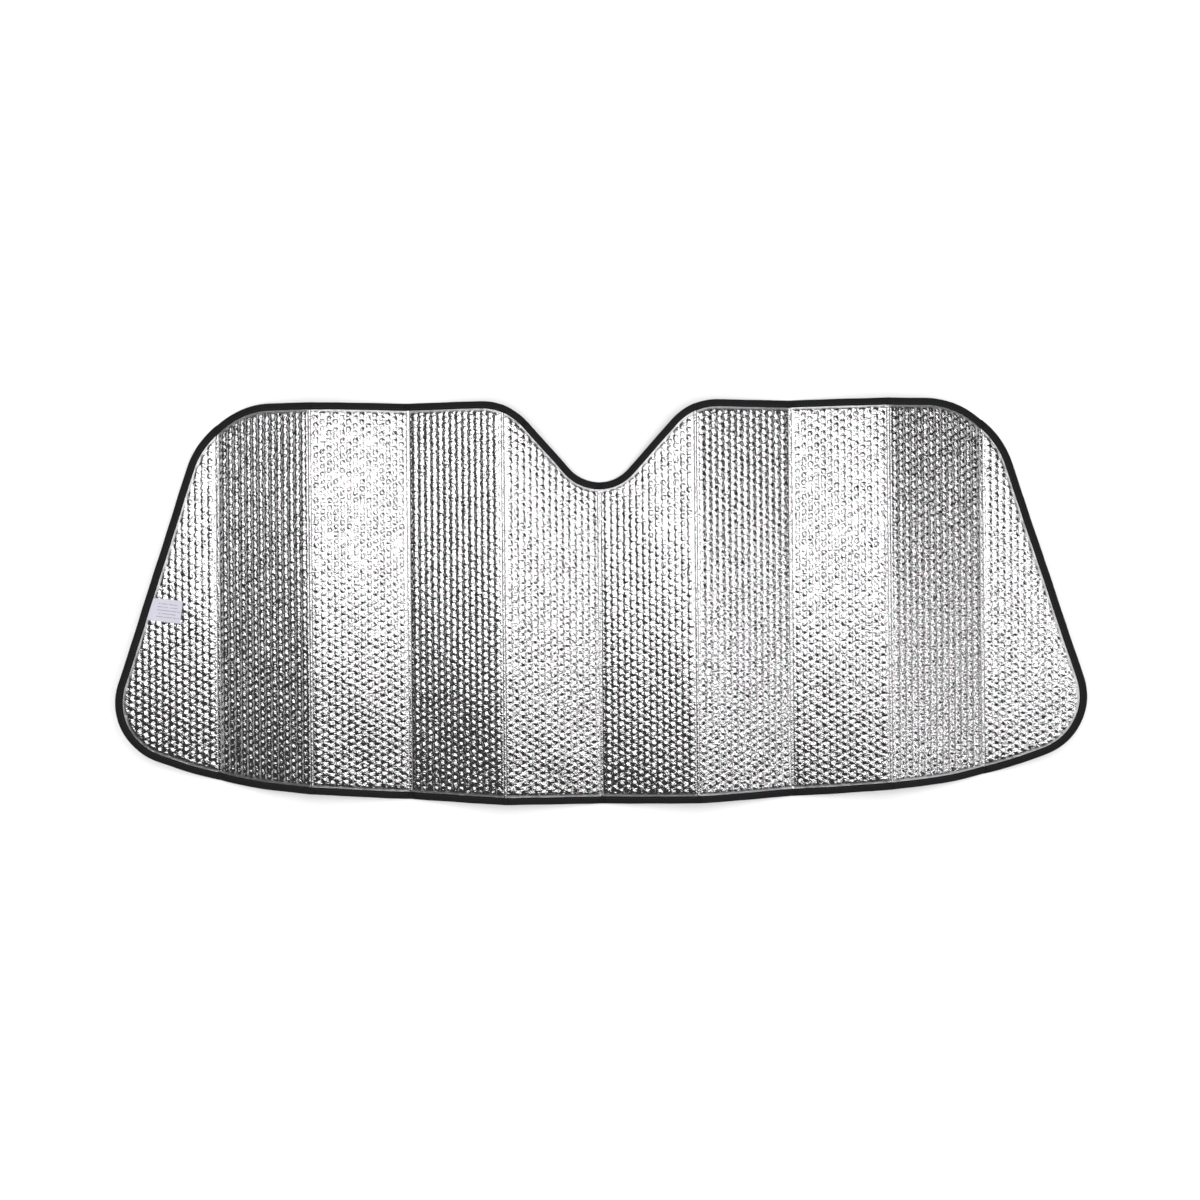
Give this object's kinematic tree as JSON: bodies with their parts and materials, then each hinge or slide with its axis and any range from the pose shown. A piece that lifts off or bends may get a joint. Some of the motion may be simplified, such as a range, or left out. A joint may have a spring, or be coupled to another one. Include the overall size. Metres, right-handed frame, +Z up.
{
  "type": "folding windscreen sunshade",
  "caption": "Accordion-fold silver bubble-foil sunshade for a car windscreen, with a mirror notch in its top edge and black tape sewn round the edge.",
  "frame": {"origin": "on the floor under the middle of the shade as it lies half open, silver face up", "axes": "+X across the windscreen, along the shade's length; +Y towards the edge with the mirror notch; +Z up, away from the floor"},
  "size_m": [1.4414, 0.6022, 0.0284],
  "materials": {
    "front_foil": "gloss",
    "bubble_film": "gloss",
    "back_foil": "satin",
    "crease_film": "satin",
    "edge_tape": "matte",
    "label_cloth": "matte"
  },
  "bodies": {
    "centre_crease": {"crease_web_5": "crease_film"},
    "panel_01": {"panel_01_front_foil": "front_foil", "panel_01_bubble_core": "bubble_film", "panel_01_back_foil": "back_foil", "edge_tape_left_end": "edge_tape", "care_label": "label_cloth", "crease_web_1": "crease_film"},
    "panel_02": {"panel_02_front_foil": "front_foil", "panel_02_bubble_core": "bubble_film", "panel_02_back_foil": "back_foil", "edge_tape_top_02": "edge_tape", "edge_tape_bottom_02": "edge_tape", "crease_web_2": "crease_film"},
    "panel_03": {"panel_03_front_foil": "front_foil", "panel_03_bubble_core": "bubble_film", "panel_03_back_foil": "back_foil", "edge_tape_top_03": "edge_tape", "edge_tape_bottom_03": "edge_tape", "crease_web_3": "crease_film"},
    "panel_04": {"panel_04_front_foil": "front_foil", "panel_04_bubble_core": "bubble_film", "panel_04_back_foil": "back_foil", "edge_tape_top_04": "edge_tape", "edge_tape_bottom_04": "edge_tape", "crease_web_4": "crease_film"},
    "panel_05": {"panel_05_front_foil": "front_foil", "panel_05_bubble_core": "bubble_film", "panel_05_back_foil": "back_foil", "edge_tape_top_05": "edge_tape", "edge_tape_bottom_05": "edge_tape"},
    "panel_06": {"panel_06_front_foil": "front_foil", "panel_06_bubble_core": "bubble_film", "panel_06_back_foil": "back_foil", "edge_tape_top_06": "edge_tape", "edge_tape_bottom_06": "edge_tape"},
    "panel_07": {"panel_07_front_foil": "front_foil", "panel_07_bubble_core": "bubble_film", "panel_07_back_foil": "back_foil", "edge_tape_top_07": "edge_tape", "edge_tape_bottom_07": "edge_tape", "crease_web_6": "crease_film"},
    "panel_08": {"panel_08_front_foil": "front_foil", "panel_08_bubble_core": "bubble_film", "panel_08_back_foil": "back_foil", "edge_tape_top_08": "edge_tape", "edge_tape_bottom_08": "edge_tape", "crease_web_7": "crease_film"},
    "panel_09": {"panel_09_front_foil": "front_foil", "panel_09_bubble_core": "bubble_film", "panel_09_back_foil": "back_foil", "edge_tape_top_09": "edge_tape", "edge_tape_bottom_09": "edge_tape", "crease_web_8": "crease_film"},
    "panel_10": {"panel_10_front_foil": "front_foil", "panel_10_bubble_core": "bubble_film", "panel_10_back_foil": "back_foil", "edge_tape_right_end": "edge_tape", "crease_web_9": "crease_film"}
  },
  "joints": [
    {"name": "centre_crease_right", "type": "hinge", "parent": "centre_crease", "child": "panel_06", "pos_m": [0, 0, 0.00559], "axis": [0, -1, 0], "range_deg": [-9, 81]},
    {"name": "centre_crease_left", "type": "hinge", "parent": "centre_crease", "child": "panel_05", "pos_m": [0, 0, 0.00559], "axis": [0, 1, 0], "range_deg": [-9, 81]},
    {"name": "crease_4", "type": "hinge", "parent": "panel_05", "child": "panel_04", "pos_m": [-0.14323, 0, 0.0218], "axis": [0, -1, 0], "range_deg": [-18, 162]},
    {"name": "crease_3", "type": "hinge", "parent": "panel_04", "child": "panel_03", "pos_m": [-0.28646, 0, 0.00559], "axis": [0, 1, 0], "range_deg": [-18, 162]},
    {"name": "crease_2", "type": "hinge", "parent": "panel_03", "child": "panel_02", "pos_m": [-0.42968, 0, 0.0218], "axis": [0, -1, 0], "range_deg": [-18, 162]},
    {"name": "crease_1", "type": "hinge", "parent": "panel_02", "child": "panel_01", "pos_m": [-0.57291, 0, 0.00559], "axis": [0, 1, 0], "range_deg": [-18, 162]},
    {"name": "crease_6", "type": "hinge", "parent": "panel_06", "child": "panel_07", "pos_m": [0.14323, 0, 0.0218], "axis": [0, 1, 0], "range_deg": [-18, 162]},
    {"name": "crease_7", "type": "hinge", "parent": "panel_07", "child": "panel_08", "pos_m": [0.28646, 0, 0.00559], "axis": [0, -1, 0], "range_deg": [-18, 162]},
    {"name": "crease_8", "type": "hinge", "parent": "panel_08", "child": "panel_09", "pos_m": [0.42968, 0, 0.0218], "axis": [0, 1, 0], "range_deg": [-18, 162]},
    {"name": "crease_9", "type": "hinge", "parent": "panel_09", "child": "panel_10", "pos_m": [0.57291, 0, 0.00559], "axis": [0, -1, 0], "range_deg": [-18, 162]}
  ],
  "couplings": [
    {"joint": "centre_crease_left", "follows": "centre_crease_right", "ratio": 1},
    {"joint": "crease_4", "follows": "centre_crease_right", "ratio": 2},
    {"joint": "crease_3", "follows": "centre_crease_right", "ratio": 2},
    {"joint": "crease_2", "follows": "centre_crease_right", "ratio": 2},
    {"joint": "crease_1", "follows": "centre_crease_right", "ratio": 2},
    {"joint": "crease_6", "follows": "centre_crease_right", "ratio": 2},
    {"joint": "crease_7", "follows": "centre_crease_right", "ratio": 2},
    {"joint": "crease_8", "follows": "centre_crease_right", "ratio": 2},
    {"joint": "crease_9", "follows": "centre_crease_right", "ratio": 2}
  ]
}
